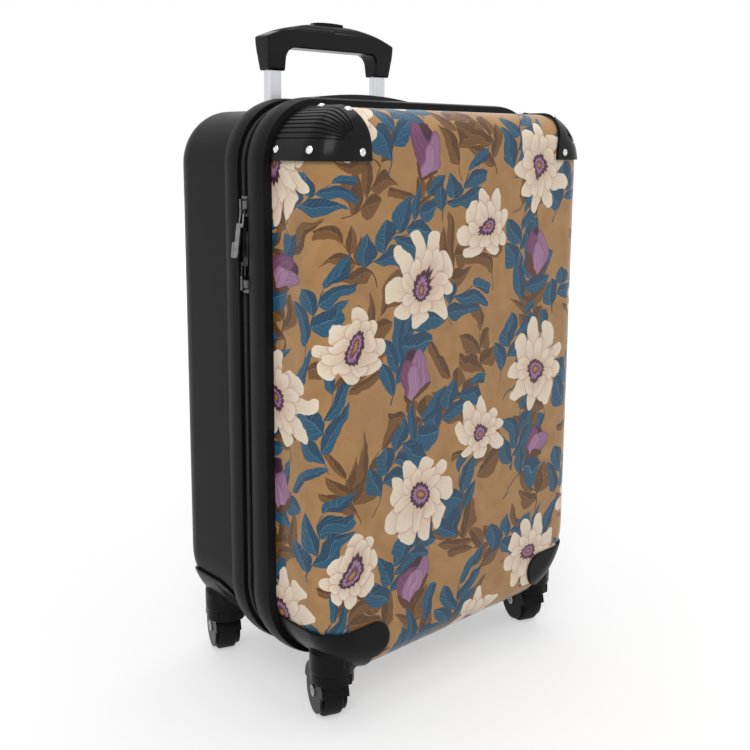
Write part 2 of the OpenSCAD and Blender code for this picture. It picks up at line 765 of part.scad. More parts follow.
// Pull that points along local -z from its crossbar, with its tab on one side of the zip's middle.
module pull_shape(side, wide) {
  tab_w = pull_w + wide;
  tab_l = pull_l - arm_l - 16;
  rotate([90, 0, 0]) cylinder(r = bar_r, h = 2 * arm_out, center = true);
  translate([-pull_t / 2, 0, 0]) rotate([90, 0, 90]) linear_extrude(pull_t) {
    for (y = [-arm_out, arm_in]) translate([y, -arm_l - 1]) square([arm_out - arm_in, arm_l + 1 + bar_r]);
    translate([-arm_out, -arm_l - 3]) square([2 * arm_out, 3]);
    mirror([side > 0 ? 0 : 1, 0]) {
      translate([pull_slit, tip_r - pull_l]) square([pull_w, pull_l - arm_l - tip_r]);
      translate([pull_slit, tip_r - pull_l]) square([tab_w, tab_l - tip_r]);
      translate([pull_slit + tip_r, -pull_l]) square([tab_w - 2 * tip_r, tab_l]);
      for (y = [tip_r, tab_w - tip_r]) translate([pull_slit + y, tip_r - pull_l]) circle(tip_r);
    }
  }
}

module upper_zip_pull() color(steel) at_zip(upper_slider_z - bar_seat) translate([bar_x, 0, 0])
  rotate([0, -upper_pull_lean, 0]) pull_shape(-1, 3.5);

module lower_zip_pull() color(soft_black) at_zip(lower_slider_z + bar_seat) translate([bar_x, 0, 0])
  rotate([0, -lower_pull_lean, 0]) mirror([0, 0, 1]) pull_shape(1, 0);

// Casters. Local y runs along the trail.
module at_caster(s, y) translate([s * caster_x, y, 0]) rotate([0, 0, -caster_turn]) children();

// Side cheek of a fork, with slanting windows over the wheel.
module cheek_outline() {
  difference() {
    union() {
      translate([trail, wheel_r]) circle(wheel_r - 3);
      translate([3 - crown_r, neck_z]) square([trail + crown_r - 3, crown_top - neck_z - 1.5]);
    }
    for (i = [0:2]) translate([trail - 10, wheel_r + 9]) rotate(28)
      translate([i * 6.5 - 3, -4]) square([2.6, 9]);
  }
}

module fork(s, y) color(soft_black) at_caster(s, y) difference() {
  union() {
    translate([0, 0, neck_z]) cylinder(r = crown_r, h = crown_top - neck_z);
    translate([0, 0, crown_top - 1]) cylinder(r = boss_r, h = roof_z - housing_t - run_gap - crown_top + 1);
    for (x = [-cheek_in - cheek_t, cheek_in])
      translate([x, 0, 0]) rotate([90, 0, 90]) linear_extrude(cheek_t) cheek_outline();
    translate([0, trail, wheel_r]) rotate([0, 90, 0]) intersection() {
      cylinder(r = hood_out, h = 2 * (cheek_in + cheek_t), center = true);
      translate([-2 * wheel_r - 3, -2 * wheel_r, -wheel_w])
        cube([2 * wheel_r, 4 * wheel_r, 2 * wheel_w]);
    }
  }
  translate([0, trail, wheel_r]) rotate([0, 90, 0]) {
    cylinder(r = hood_in, h = 2 * cheek_in, center = true);
    cylinder(r = axle_r + seat_gap / 2, h = 4 * wheel_w, center = true);
  }
  translate([-cheek_in, trail - hood_in, -1]) cube([2 * cheek_in, 2 * hood_in, wheel_r + 1]);
  translate([0, 0, pin_foot - pin_head - run_gap]) cylinder(r = kingpin_r + bore_play, h = roof_z);
  translate([0, 0, wheel_r]) cylinder(r = pin_head_r + run_gap, h = pin_foot - wheel_r + bore_play);
}

module axle(s, y) color(steel) at_caster(s, y) translate([0, trail, wheel_r]) rotate([0, 90, 0]) {
  cylinder(r = axle_r, h = 2 * (cheek_in + cheek_t + seat_gap), center = true);
  for (m = [0, 1]) mirror([0, 0, m]) translate([0, 0, cheek_in + cheek_t + seat_gap]) difference() {
    cylinder(r = axle_r + 2, h = axle_head);
    translate([0, 0, axle_head / 2]) cylinder(r = axle_r - 1, h = axle_head);
  }
}

// Wheel: a tread with rounded shoulders on a hub that is dished on both sides.
module wheel(s, y) color(black) at_caster(s, y) translate([0, trail, wheel_r]) rotate([0, 90, 0])
  rotate_extrude() difference() {
    union() {
      translate([axle_r + bore_play, -wheel_w / 2]) square([wheel_r - 3 - axle_r - bore_play, wheel_w]);
      translate([axle_r + bore_play, 3 - wheel_w / 2]) square([wheel_r - axle_r - bore_play, wheel_w - 6]);
      for (m = [-1, 1]) translate([wheel_r - 3, m * (wheel_w / 2 - 3)]) circle(3);
    }
    for (m = [-1, 1]) translate([(wheel_r + axle_r) / 2, m * wheel_w / 2])
      square([wheel_r - axle_r - 2 * hub_wall, 2 * hub_recess], center = true);
  }

rear_shell();
rear_rim();
rear_zip_tape();
rear_zip_coil();
rear_lining();
hinge_gusset();
trolley_bezel();
outer_tube(-1);  // outer_tube_left
outer_tube(1);  // outer_tube_right
trolley_base();
carry_mount(-1);  // carry_mount_left
carry_mount(1);  // carry_mount_right
rear_housing(-1);  // rear_left_housing
rear_housing(1);  // rear_right_housing
kingpin(-1, caster_rear);  // rear_left_kingpin
kingpin(1, caster_rear);  // rear_right_kingpin
front_shell();
front_rim();
front_zip_tape();
front_zip_coil();
front_lining();
corner_guard(-1);  // left_corner_guard
corner_guard(1);  // right_corner_guard
guard_rivets();
front_housing(-1);  // front_left_housing
front_housing(1);  // front_right_housing
kingpin(-1, caster_front);  // front_left_kingpin
kingpin(1, caster_front);  // front_right_kingpin
middle_tube(-1);  // middle_tube_left
middle_tube(1);  // middle_tube_right
middle_collar(-1);  // middle_collar_left
middle_collar(1);  // middle_collar_right
inner_tube(-1);  // inner_tube_left
inner_tube(1);  // inner_tube_right
inner_plug(-1);  // inner_plug_left
inner_plug(1);  // inner_plug_right
grip();
release_button();
release_yoke();
carry_handle();
zip_slider(upper_slider_z);  // upper_zip_slider
zip_slider(lower_slider_z);  // lower_zip_slider
upper_zip_pull();
lower_zip_pull();
fork(-1, caster_front);  // front_left_fork
fork(1, caster_front);  // front_right_fork
fork(-1, caster_rear);  // rear_left_fork
fork(1, caster_rear);  // rear_right_fork
axle(-1, caster_front);  // front_left_axle
axle(1, caster_front);  // front_right_axle
axle(-1, caster_rear);  // rear_left_axle
axle(1, caster_rear);  // rear_right_axle
wheel(-1, caster_front);  // front_left_wheel
wheel(1, caster_front);  // front_right_wheel
wheel(-1, caster_rear);  // rear_left_wheel
wheel(1, caster_rear);  // rear_right_wheel
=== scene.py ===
import json
import math

import bpy
from mathutils import Matrix, Vector

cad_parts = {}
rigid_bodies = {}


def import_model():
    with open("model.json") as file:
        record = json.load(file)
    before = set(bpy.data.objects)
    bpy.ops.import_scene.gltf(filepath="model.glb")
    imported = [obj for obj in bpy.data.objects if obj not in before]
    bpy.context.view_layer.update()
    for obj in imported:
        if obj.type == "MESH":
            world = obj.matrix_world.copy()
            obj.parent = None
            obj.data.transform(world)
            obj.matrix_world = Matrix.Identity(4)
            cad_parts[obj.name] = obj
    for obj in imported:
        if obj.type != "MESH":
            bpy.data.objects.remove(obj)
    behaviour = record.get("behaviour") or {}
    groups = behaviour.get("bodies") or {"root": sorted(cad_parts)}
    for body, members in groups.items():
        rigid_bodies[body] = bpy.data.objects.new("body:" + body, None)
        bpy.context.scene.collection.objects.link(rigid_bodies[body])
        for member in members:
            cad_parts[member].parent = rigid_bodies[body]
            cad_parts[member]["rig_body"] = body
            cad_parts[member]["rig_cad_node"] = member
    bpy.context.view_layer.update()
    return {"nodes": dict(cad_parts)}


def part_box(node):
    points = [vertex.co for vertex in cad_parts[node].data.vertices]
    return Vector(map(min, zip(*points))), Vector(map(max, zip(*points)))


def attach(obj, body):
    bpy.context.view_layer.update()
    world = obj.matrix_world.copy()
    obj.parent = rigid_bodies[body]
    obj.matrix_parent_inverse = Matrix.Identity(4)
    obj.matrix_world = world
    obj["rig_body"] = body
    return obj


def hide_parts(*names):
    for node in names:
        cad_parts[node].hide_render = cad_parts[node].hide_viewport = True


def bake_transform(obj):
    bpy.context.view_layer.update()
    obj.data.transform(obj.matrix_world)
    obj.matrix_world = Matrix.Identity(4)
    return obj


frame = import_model()
bpy.context.scene.view_settings.view_transform = "Standard"


# Rear half: one deep tray, vacuum-formed from black polycarbonate sheet. Its skin is a fine satin
# grain with soft long reflections, and its rim and handle parts are screwed to it from inside.
def srgb(*shades):
    """A colour as it is seen, 0 to 255 a channel, turned into the light values that a shader takes."""
    return tuple(((v / 255 + 0.055) / 1.055) ** 2.4 if v > 10 else v / 255 / 12.92 for v in shades) + (1,)


def feed(tree, node, values):
    for key, value in values.items():
        if isinstance(value, bpy.types.NodeSocket):
            tree.links.new(value, node.inputs[key])
        else:
            node.inputs[key].default_value = value


def put(tree, kind, values=None, **settings):
    made = tree.nodes.new(kind)
    for key, value in settings.items():
        setattr(made, key, value)
    feed(tree, made, values or {})
    return made


def calc(tree, operation, a, b=0.0):
    return put(tree, "ShaderNodeMath", {0: a, 1: b}, operation=operation).outputs[0]


def times(tree, a, b):
    return calc(tree, "MULTIPLY", a, b)


def ramp(tree, value, start, end, low=0.0, high=1.0, curve="LINEAR"):
    values = {0: value, 1: start, 2: end, 3: low, 4: high}
    return put(tree, "ShaderNodeMapRange", values, interpolation_type=curve).outputs[0]


def tint(tree, factor, a, b):
    return put(tree, "ShaderNodeMix", {0: factor, 6: a, 7: b}, data_type="RGBA").outputs[2]


def noise(tree, at, scale, detail, **settings):
    values = {"Vector": at, "Scale": scale, "Detail": detail}
    return put(tree, "ShaderNodeTexNoise", values, **settings).outputs


def group_tree(name, inputs, outputs):
    tree = bpy.data.node_groups.new(name, "ShaderNodeTree")
    for side, sockets in (("INPUT", inputs), ("OUTPUT", outputs)):
        for label, kind in sockets.items():
            tree.interface.new_socket(label, in_out=side, socket_type="NodeSocket" + kind)
    start, end = tree.nodes.new("NodeGroupInput"), tree.nodes.new("NodeGroupOutput")
    return tree, start.outputs, end


def use(tree, group, values):
    return put(tree, "ShaderNodeGroup", values, node_tree=group).outputs


def blank(name):
    """A new material with its node tree, its shader and the place on the piece in metres."""
    material = bpy.data.materials.new(name)
    material.use_nodes = True
    tree = material.node_tree
    return material, tree, tree.nodes["Principled BSDF"], put(tree, "ShaderNodeTexCoord").outputs["Object"]


moulded_grain, i, end = group_tree("moulded_grain", {"Vector": "Vector", "Grain": "Float", "Cloud": "Float"},
                                   {"Height": "Float", "Tone": "Float"})
pits = put(moulded_grain, "ShaderNodeTexVoronoi", {"Vector": i["Vector"], "Scale": i["Grain"]})
cloud = noise(moulded_grain, i["Vector"], i["Cloud"], 3.0)[0]
feed(moulded_grain, end, {"Height": pits.outputs["Distance"], "Tone": ramp(moulded_grain, cloud, 0.3, 0.7)})


def plastic(name, dark, pale, rough, grain, depth, edge, coat=0.0):
    """A moulded plastic: two close tones, satin patches, pitted grain, and edges rounded by the mould and
    painted a little lighter all along.
    """
    material, tree, shader, at = blank(name)
    skin = use(tree, moulded_grain, {"Vector": at, "Grain": grain, "Cloud": 24.0})
    rounded = put(tree, "ShaderNodeBevel", {"Radius": edge}, samples=4).outputs[0]
    flat = put(tree, "ShaderNodeNewGeometry").outputs["Normal"]
    turn = put(tree, "ShaderNodeVectorMath", {0: rounded, 1: flat}, operation="DOT_PRODUCT").outputs["Value"]
    # Every rounded edge is painted lighter, evenly all along: up to a third of the way towards a tone nearly
    # twice the pale one.
    edge_lightening = times(tree, ramp(tree, turn, 0.97, 0.75), 0.35)
    rubbed = tuple(1.9 * v for v in pale[:3]) + (1,)
    bump = put(tree, "ShaderNodeBump", {"Height": skin["Height"], "Strength": depth, "Distance": 0.0002,
                                        "Normal": rounded})
    feed(tree, shader, {"Base Color": tint(tree, edge_lightening, tint(tree, skin["Tone"], dark, pale), rubbed),
                        "Roughness": ramp(tree, skin["Tone"], 0.0, 1.0, rough - 0.04, rough + 0.04),
                        "Normal": bump.outputs[0], "Specular IOR Level": 0.1,
                        "Coat Weight": coat, "Coat Roughness": 0.12})
    return material


def dress(material, *nodes):
    for name in nodes:
        frame["nodes"][name].data.materials.clear()
        frame["nodes"][name].data.materials.append(material)


dress(plastic("shell_black", srgb(15, 15, 16), srgb(20, 20, 21), 0.36, 900, 0.16, 0.0008), "rear_shell")


# Rims: hollow extruded trims of soft black plastic round both halves. They hide the edges of the
# shells, carry the zip tape, and have a fine woven mark rolled into their faces.
def woven(tree, at, pitch):
    part = put(tree, "ShaderNodeSeparateXYZ", {0: at}).outputs
    rows = [calc(tree, "SINE", times(tree, value, 2 * math.pi / pitch)) for value in part]
    return times(tree, times(tree, calc(tree, "ADD", rows[0], rows[2]), rows[1]), 0.5)


rim_black = plastic("rim_black", srgb(17, 17, 18), srgb(24, 23, 25), 0.4, 1100, 0.12, 0.0012)
tree = rim_black.node_tree
weave = woven(tree, put(tree, "ShaderNodeTexCoord").outputs["Object"], 0.0011)
mark = put(tree, "ShaderNodeBump", {"Height": weave, "Strength": 0.12, "Distance": 0.0002,
                                    "Normal": tree.nodes["Bump"].outputs[0]})
feed(tree, tree.nodes["Principled BSDF"], {"Normal": mark.outputs[0]})
dress(rim_black, "rear_rim", "front_rim")


# Zip: black woven tape sewn along both rims, with a nylon coil on each edge. The coil is one nylon
# thread wound round the tape's edge, so it shows as a row of small loops.
def cloth(name, dark, pale, pitch, depth):
    """A plain weave: crossed threads in two close tones with a little fluff."""
    material, tree, shader, at = blank(name)
    weave = woven(tree, at, pitch)
    fluff = noise(tree, at, 260.0, 4.0)[0]
    tone = calc(tree, "ADD", times(tree, weave, 0.35), fluff)
    tone = put(tree, "ShaderNodeClamp", {"Value": tone}).outputs[0]
    bump = put(tree, "ShaderNodeBump", {"Height": calc(tree, "ADD", weave, fluff), "Strength": depth,
                                        "Distance": 0.0003})
    feed(tree, shader, {"Base Color": tint(tree, tone, dark, pale), "Normal": bump.outputs[0],
                        "Roughness": 0.85, "Sheen Weight": 0.12})
    return material


tape_black = cloth("tape_black", srgb(16, 16, 17), srgb(30, 29, 31), 0.0009, 0.5)
dress(tape_black, "rear_zip_tape", "front_zip_tape")
coil_black = plastic("coil_black", srgb(14, 14, 15), srgb(26, 26, 28), 0.34, 1500, 0.1, 0.0002)
LOOP_PITCH = 0.002
TOP_BEND, FOOT_BEND = 0.051, 0.072
UPRIGHT, LEVEL = (1, 1, 0.9), (0.9, 1, 1)


def coil_loop(place, radius, squeeze):
    bpy.ops.object.select_all(action="DESELECT")
    bpy.ops.mesh.primitive_uv_sphere_add(segments=8, ring_count=6, radius=radius, location=place)
    bpy.ops.object.mode_set(mode="EDIT")
    bpy.ops.mesh.select_all(action="SELECT")
    bpy.ops.transform.resize(value=squeeze, center_override=place)
    bpy.ops.object.mode_set(mode="OBJECT")
    return bpy.context.active_object


def straight_run(loop, heading, length):
    loops = loop.modifiers.new("Loops", "ARRAY")
    loops.use_relative_offset = False
    loops.use_constant_offset = True
    loops.count = int(length / LOOP_PITCH) + 1
    loops.constant_offset_displace = heading * (length / (loops.count - 1))
    bpy.ops.object.modifier_apply(modifier="Loops")
    return loop


def corner_run(loop, middle, bend, way):
    bpy.ops.object.mode_set(mode="EDIT")
    bpy.ops.mesh.select_all(action="SELECT")
    bpy.ops.mesh.spin(steps=int(bend * math.pi / 2 / LOOP_PITCH), dupli=True, angle=-way * math.pi / 2,
                      center=middle, axis=(0, 1, 0))
    bpy.ops.object.mode_set(mode="OBJECT")
    return loop


def coil_row(name, node, body):
    low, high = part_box(node)
    y, thick = (low.y + high.y) / 2, (high.y - low.y) / 2
    side, foot, head = -low.x - thick, low.z + thick, high.z - thick
    runs = [straight_run(coil_loop((-side, y, foot + FOOT_BEND), thick, UPRIGHT), Vector((0, 0, 1)),
                         head - TOP_BEND - foot - FOOT_BEND)]
    for z, bend, way in ((head, TOP_BEND, 1), (foot, FOOT_BEND, -1)):
        turn_z = z - way * bend
        inner = side - bend
        runs += [straight_run(coil_loop((-inner, y, z), thick, LEVEL), Vector((1, 0, 0)), 2 * inner),
                 corner_run(coil_loop((-side, y, turn_z), thick, UPRIGHT), (-inner, y, turn_z), bend, way),
                 corner_run(coil_loop((inner, y, z), thick, LEVEL), (inner, y, turn_z), bend, way)]
    bpy.ops.object.select_all(action="DESELECT")
    for run in runs:
        run.select_set(True)
    bpy.context.view_layer.objects.active = runs[0]
    bpy.ops.object.join()
    row = bpy.context.active_object
    row.name = name
    bpy.ops.object.transform_apply(location=True, rotation=True, scale=True)
    bpy.ops.object.shade_smooth()
    row.data.materials.append(coil_black)
    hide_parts(node)
    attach(row, body)


coil_row("rear_coil_loops", "rear_zip_coil", "case")
coil_row("front_coil_loops", "front_zip_coil", "lid")


# Lining: thin grey woven polyester, plain and glued inside both halves. In the rear half a flat panel
# of it covers the handle's tubes.
dress(cloth("lining_grey", srgb(58, 58, 62), srgb(82, 82, 87), 0.0016, 0.35), "rear_lining", "front_lining")


# Hinge: a strip of the same black tape sewn to both rims on the right side, in place of a zip. It
# hangs slightly inwards.
low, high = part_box("hinge_gusset")
STRIP_SAG = 0.0012
STRIP_INSET = 0.0004
STRIP_OVERHANG = 0.0003
bpy.ops.object.select_all(action="DESELECT")
bpy.ops.mesh.primitive_plane_add(size=1, location=(0, 0, 0))
hinge_strip = bpy.context.active_object
hinge_strip.name = "hinge_strip"
bpy.ops.object.mode_set(mode="EDIT")
bpy.ops.mesh.select_all(action="SELECT")
bpy.ops.mesh.subdivide(number_cuts=31)
bpy.ops.object.mode_set(mode="OBJECT")
for v in hinge_strip.data.vertices:
    along, across = v.co.x + 0.5, v.co.y + 0.5
    v.co = (high.x - STRIP_INSET - STRIP_SAG * math.sin(math.pi * across),
            low.y - STRIP_OVERHANG + across * (high.y - low.y + STRIP_OVERHANG - 0.0001),
            low.z + along * (high.z - low.z))
bpy.ops.object.mode_set(mode="EDIT")
bpy.ops.mesh.select_all(action="SELECT")
bpy.ops.mesh.normals_make_consistent(inside=False)
bpy.ops.object.mode_set(mode="OBJECT")
wall = hinge_strip.modifiers.new("Thickness", "SOLIDIFY")
wall.thickness = 0.0006
bpy.ops.object.modifier_apply(modifier="Thickness")
bpy.ops.object.shade_smooth()
hinge_strip.data.materials.append(tape_black)
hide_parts("hinge_gusset")
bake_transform(hinge_strip)


# Trolley handle: three nested pairs of drawn aluminium tubes, satin anodised with lengthwise die
# lines, in a black pocket let into the top of the rear half.
tube_silver, tree, shader, at = blank("tube_silver")
drawn = put(tree, "ShaderNodeMapping", {"Vector": at, "Scale": (2600.0, 2600.0, 6.0)}).outputs[0]
lines = noise(tree, drawn, 1.0, 3.0)[0]
bump = put(tree, "ShaderNodeBump", {"Height": lines, "Strength": 0.15, "Distance": 0.0001})
feed(tree, shader, {"Base Color": tint(tree, lines, srgb(196, 198, 202), srgb(226, 228, 231)),
                    "Roughness": ramp(tree, lines, 0.0, 1.0, 0.24, 0.4), "Normal": bump.outputs[0],
                    "Metallic": 1.0})
for side in ("left", "right"):
    dress(tube_silver, "inner_tube_" + side, "middle_tube_" + side, "outer_tube_" + side)
dress(tube_silver, "release_yoke")
fitting_black = plastic("fitting_black", srgb(14, 14, 15), srgb(20, 20, 21), 0.42, 800, 0.2, 0.0006)
for side in ("left", "right"):
    dress(fitting_black, "middle_collar_" + side, "inner_plug_" + side, "carry_mount_" + side)
dress(fitting_black, "trolley_bezel", "trolley_base")


# Grip: a black moulding in two glued halves on the ends of the inner tubes, smooth where the hand
# goes, with a sprung release button let into its top.
def soft_copy(node, name, voxel, passes, material):
    """A copy of a moulding with its edges rounded off."""
    bpy.ops.object.select_all(action="DESELECT")
    source = frame["nodes"][node]
    source.select_set(True)
    bpy.context.view_layer.objects.active = source
    bpy.ops.object.duplicate()
    piece = bpy.context.active_object
    piece.name = name
    piece.parent = None
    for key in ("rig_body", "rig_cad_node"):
        del piece[key]
    bpy.ops.object.mode_set(mode="EDIT")
    bpy.ops.mesh.select_all(action="SELECT")
    bpy.ops.mesh.remove_doubles(threshold=0.000004)
    bpy.ops.object.mode_set(mode="OBJECT")
    piece.data.remesh_voxel_size = voxel
    bpy.ops.object.voxel_remesh()
    rounding = piece.modifiers.new("Rounding", "SMOOTH")
    rounding.factor = 0.5
    rounding.iterations = passes
    bpy.ops.object.modifier_apply(modifier="Rounding")
    bpy.ops.object.shade_smooth()
    piece.data.materials.clear()
    piece.data.materials.append(material)
    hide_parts(node)
    return piece


grip_black = plastic("grip_black", srgb(14, 14, 15), srgb(19, 19, 20), 0.3, 1000, 0.1, 0.0005, coat=0.15)
hand_grip = soft_copy("grip", "hand_grip", 0.0008, 30, grip_black)
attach(hand_grip, "trolley_grip")
button_black = plastic("button_black", srgb(20, 20, 21), srgb(27, 27, 28), 0.32, 1200, 0.1, 0.0007)
dress(button_black, "release_button")


# Carry handle: a bowed glossy strap of black plastic on the top, whose two legs slide up out of
# their guides against springs.
carry_black = plastic("carry_black", srgb(13, 13, 14), srgb(17, 17, 18), 0.22, 900, 0.06, 0.0008, coat=0.3)
carry_strap = soft_copy("carry_handle", "carry_strap", 0.0007, 6, carry_black)
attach(carry_strap, "carry")


# Front half: the same polycarbonate tray with a floral print under its clear gloss skin. The print is
# laid on flat and stretches round the edges as the sheet is formed. Its sizes are in millimetres.
def less(tree, a, b):
    return calc(tree, "SUBTRACT", a, b)


def clamped(tree, value, top=1.0):
    return put(tree, "ShaderNodeClamp", {"Value": value, "Max": top}).outputs[0]


def split(tree, vector):
    return put(tree, "ShaderNodeSeparateXYZ", {0: vector}).outputs


def joined(tree, x, y=0.0, z=0.0):
    return put(tree, "ShaderNodeCombineXYZ", {0: x, 1: y, 2: z}).outputs[0]


def vector(tree, operation, a, b):
    return put(tree, "ShaderNodeVectorMath", {0: a, 1: b}, operation=operation).outputs[0]


def tilted(tree, x, y, angle):
    """Distance along a line at this angle, and across it."""
    along = calc(tree, "ADD", times(tree, x, math.cos(angle)), times(tree, y, math.sin(angle)))
    return along, less(tree, times(tree, y, math.cos(angle)), times(tree, x, math.sin(angle)))


# One repeat of the print: a motif in each cell of a half-drop lattice, turned a little by chance.
repeat, i, end = group_tree("half_drop_repeat", {"At": "Vector", "Cell": "Vector", "Place": "Vector",
                                                 "Turn": "Float", "Sway": "Float"}, {"Motif": "Vector"})
at = split(repeat, vector(repeat, "DIVIDE", vector(repeat, "SUBTRACT", i["At"], i["Place"]), i["Cell"]))
column = calc(repeat, "ROUND", at[0])
drop = less(repeat, at[1], times(repeat, column, 0.5))
row = calc(repeat, "ROUND", drop)
cell = joined(repeat, column, row, i["Turn"])
chance = put(repeat, "ShaderNodeTexWhiteNoise", {"Vector": cell}, noise_dimensions="3D").outputs["Value"]
swing = times(repeat, less(repeat, chance, 0.5), i["Sway"])
angle = times(repeat, calc(repeat, "ADD", i["Turn"], swing), -math.pi / 180)
local = joined(repeat, less(repeat, at[0], column), less(repeat, drop, row))
local = vector(repeat, "MULTIPLY", local, i["Cell"])
motif = put(repeat, "ShaderNodeVectorRotate", {"Vector": local, "Angle": angle}, rotation_type="Z_AXIS")
feed(repeat, end, {"Motif": motif.outputs[0]})

# A leaf with its base at the origin and its tip along x: its field, its midrib and veins, and its halves.
leaf, i, end = group_tree("leaf", {"Along": "Float", "Across": "Float", "Length": "Float", "Width": "Float"},
                          {"Field": "Float", "Veins": "Float", "Half": "Float"})
t = calc(leaf, "DIVIDE", i["Along"], i["Length"])
belly = calc(leaf, "MAXIMUM", less(leaf, 5.1, times(leaf, t, 2.2)), 0.5)
shape = times(leaf, times(leaf, times(leaf, t, less(leaf, 1.0, t)), belly), i["Width"])
across = calc(leaf, "ABSOLUTE", i["Across"])
rib = less(leaf, 1.0, times(leaf, across, 2.2))
slant = less(leaf, i["Along"], times(leaf, across, 1.3))
comb = calc(leaf, "FRACT", calc(leaf, "DIVIDE", slant, 4.6))
comb = less(leaf, 1.0, times(leaf, calc(leaf, "ABSOLUTE", less(leaf, comb, 0.5)), 9.0))
feed(leaf, end, {"Field": clamped(leaf, times(leaf, less(leaf, shape, across), 2.2)),
                 "Veins": clamped(leaf, calc(leaf, "MAXIMUM", rib, times(leaf, comb, 0.6))),
                 "Half": calc(leaf, "GREATER_THAN", i["Across"], 0.0)})

# A sprig: a bowed stem with leaves set alternately along it and one at its tip.
LEAF_ANGLE = 0.78
sprig, i, end = group_tree("sprig", {"Motif": "Vector", "Count": "Float", "Bow": "Float", "Leaf": "Float"},
                           {"Field": "Float", "Veins": "Float", "Half": "Float", "Stem": "Float"})
gap = times(sprig, i["Leaf"], 0.58)
reach = times(sprig, gap, calc(sprig, "ADD", i["Count"], 0.9))
middle = times(sprig, calc(sprig, "ADD", reach, i["Leaf"]), 0.5)
part = split(sprig, vector(sprig, "ADD", i["Motif"], joined(sprig, middle)))
y = less(sprig, part[1], times(sprig, times(sprig, part[0], part[0]), i["Bow"]))
lower = calc(sprig, "LESS_THAN", y, 0.0)
x = less(sprig, part[0], times(sprig, lower, times(sprig, gap, 0.5)))
x = less(sprig, x, times(sprig, gap, 0.6))
up = calc(sprig, "ABSOLUTE", y)
step = calc(sprig, "FLOOR", calc(sprig, "DIVIDE", x, gap))
last = less(sprig, i["Count"], 1.0)
found = []
for back in (0.0, 1.0):
    k = calc(sprig, "MAXIMUM", calc(sprig, "MINIMUM", less(sprig, step, back), last), 0.0)
    along, over = tilted(sprig, less(sprig, x, times(sprig, k, gap)), up, LEAF_ANGLE)
    length = times(sprig, i["Leaf"], less(sprig, 1.06, times(sprig, k, 0.07)))
    found.append(use(sprig, leaf, {"Along": along, "Across": over, "Length": length,
                                   "Width": times(sprig, length, 0.24)}))
found.append(use(sprig, leaf, {"Along": less(sprig, part[0], reach), "Across": y, "Length": i["Leaf"],
                               "Width": times(sprig, i["Leaf"], 0.22)}))
field, veins, half = (found[0][key] for key in ("Field", "Veins", "Half"))
for more in found[1:]:
    take = calc(sprig, "GREATER_THAN", more["Field"], field)
    field = calc(sprig, "MAXIMUM", field, more["Field"])
    veins = put(sprig, "ShaderNodeMix", {0: take, 2: veins, 3: more["Veins"]}).outputs[0]
    half = put(sprig, "ShaderNodeMix", {0: take, 2: half, 3: more["Half"]}).outputs[0]
stem = times(sprig, less(sprig, 0.8, up), 2.0)
stem = calc(sprig, "MINIMUM", stem, less(sprig, reach, part[0]))
stem = calc(sprig, "MINIMUM", stem, part[0])
feed(sprig, end, {"Field": field, "Veins": veins, "Half": half, "Stem": clamped(sprig, stem)})

# A blossom: two whorls of rounded petals, shaded where they overlap, round a scalloped eye.
CREAM, BLUSH, SHADE = srgb(246, 230, 206), srgb(226, 193, 172), srgb(196, 150, 132)
PLUM, LILAC, OCHRE = srgb(72, 36, 56), srgb(176, 128, 166), srgb(190, 140, 76)
blossom, i, end = group_tree("blossom", {"Motif": "Vector", "Radius": "Float", "Petals": "Float"},
                             {"Field": "Float", "Color": "Color"})
part = split(blossom, i["Motif"])
far = put(blossom, "ShaderNodeVectorMath", {0: i["Motif"]}, operation="LENGTH").outputs["Value"]
r = calc(blossom, "DIVIDE", far, i["Radius"])
a = calc(blossom, "DIVIDE", calc(blossom, "ARCTAN2", part[1], part[0]), 2 * math.pi)
streak = noise(blossom, joined(blossom, times(blossom, a, 60.0), times(blossom, r, 1.3)), 1.0, 2.0)[0]
streaks = ramp(blossom, streak, 0.5, 0.72)
whorls = []
for size, offset in ((1.0, 0.0), (0.7, 0.5)):
    turn = calc(blossom, "ADD", times(blossom, a, i["Petals"]), offset)
    off = calc(blossom, "ABSOLUTE", less(blossom, calc(blossom, "FRACT", turn), 0.5))
    notch = times(blossom, calc(blossom, "POWER", times(blossom, off, 2.0), 2.2), 0.34)
    lobe = times(blossom, less(blossom, 1.0, notch), size)
    depth = times(blossom, less(blossom, lobe, r), i["Radius"])
    inner = ramp(blossom, calc(blossom, "DIVIDE", r, size), 0.98, 0.35, curve="SMOOTHSTEP")
    crease = ramp(blossom, off, 0.40, 0.5, curve="SMOOTHSTEP")
    fold = times(blossom, ramp(blossom, off, 0.06, 0.0, curve="SMOOTHSTEP"), inner)
    petal = tint(blossom, times(blossom, inner, 0.75), CREAM, BLUSH)
    petal = tint(blossom, times(blossom, crease, 0.55), petal, SHADE)
    petal = tint(blossom, times(blossom, fold, 0.35), petal, SHADE)
    petal = tint(blossom, times(blossom, times(blossom, streaks, inner), 0.45), petal, SHADE)
    whorls.append((petal, clamped(blossom, times(blossom, depth, 2.2)), depth))
(colour, field, _), (petal, mask, depth) = whorls
under = ramp(blossom, depth, -3.2, 0.0, curve="SMOOTHSTEP")
colour = tint(blossom, times(blossom, under, 0.5), colour, SHADE)
colour = tint(blossom, mask, colour, petal)
wave = calc(blossom, "ABSOLUTE", calc(blossom, "SINE", times(blossom, a, 14 * math.pi)))
scallop = times(blossom, wave, 0.05)
for edge, tone in ((0.27, PLUM), (0.17, LILAC), (0.10, PLUM), (0.05, OCHRE)):
    ring = times(blossom, less(blossom, calc(blossom, "ADD", edge, scallop), r), 26.0)
    colour = tint(blossom, clamped(blossom, ring), colour, tone)
feed(blossom, end, {"Color": colour, "Field": field})

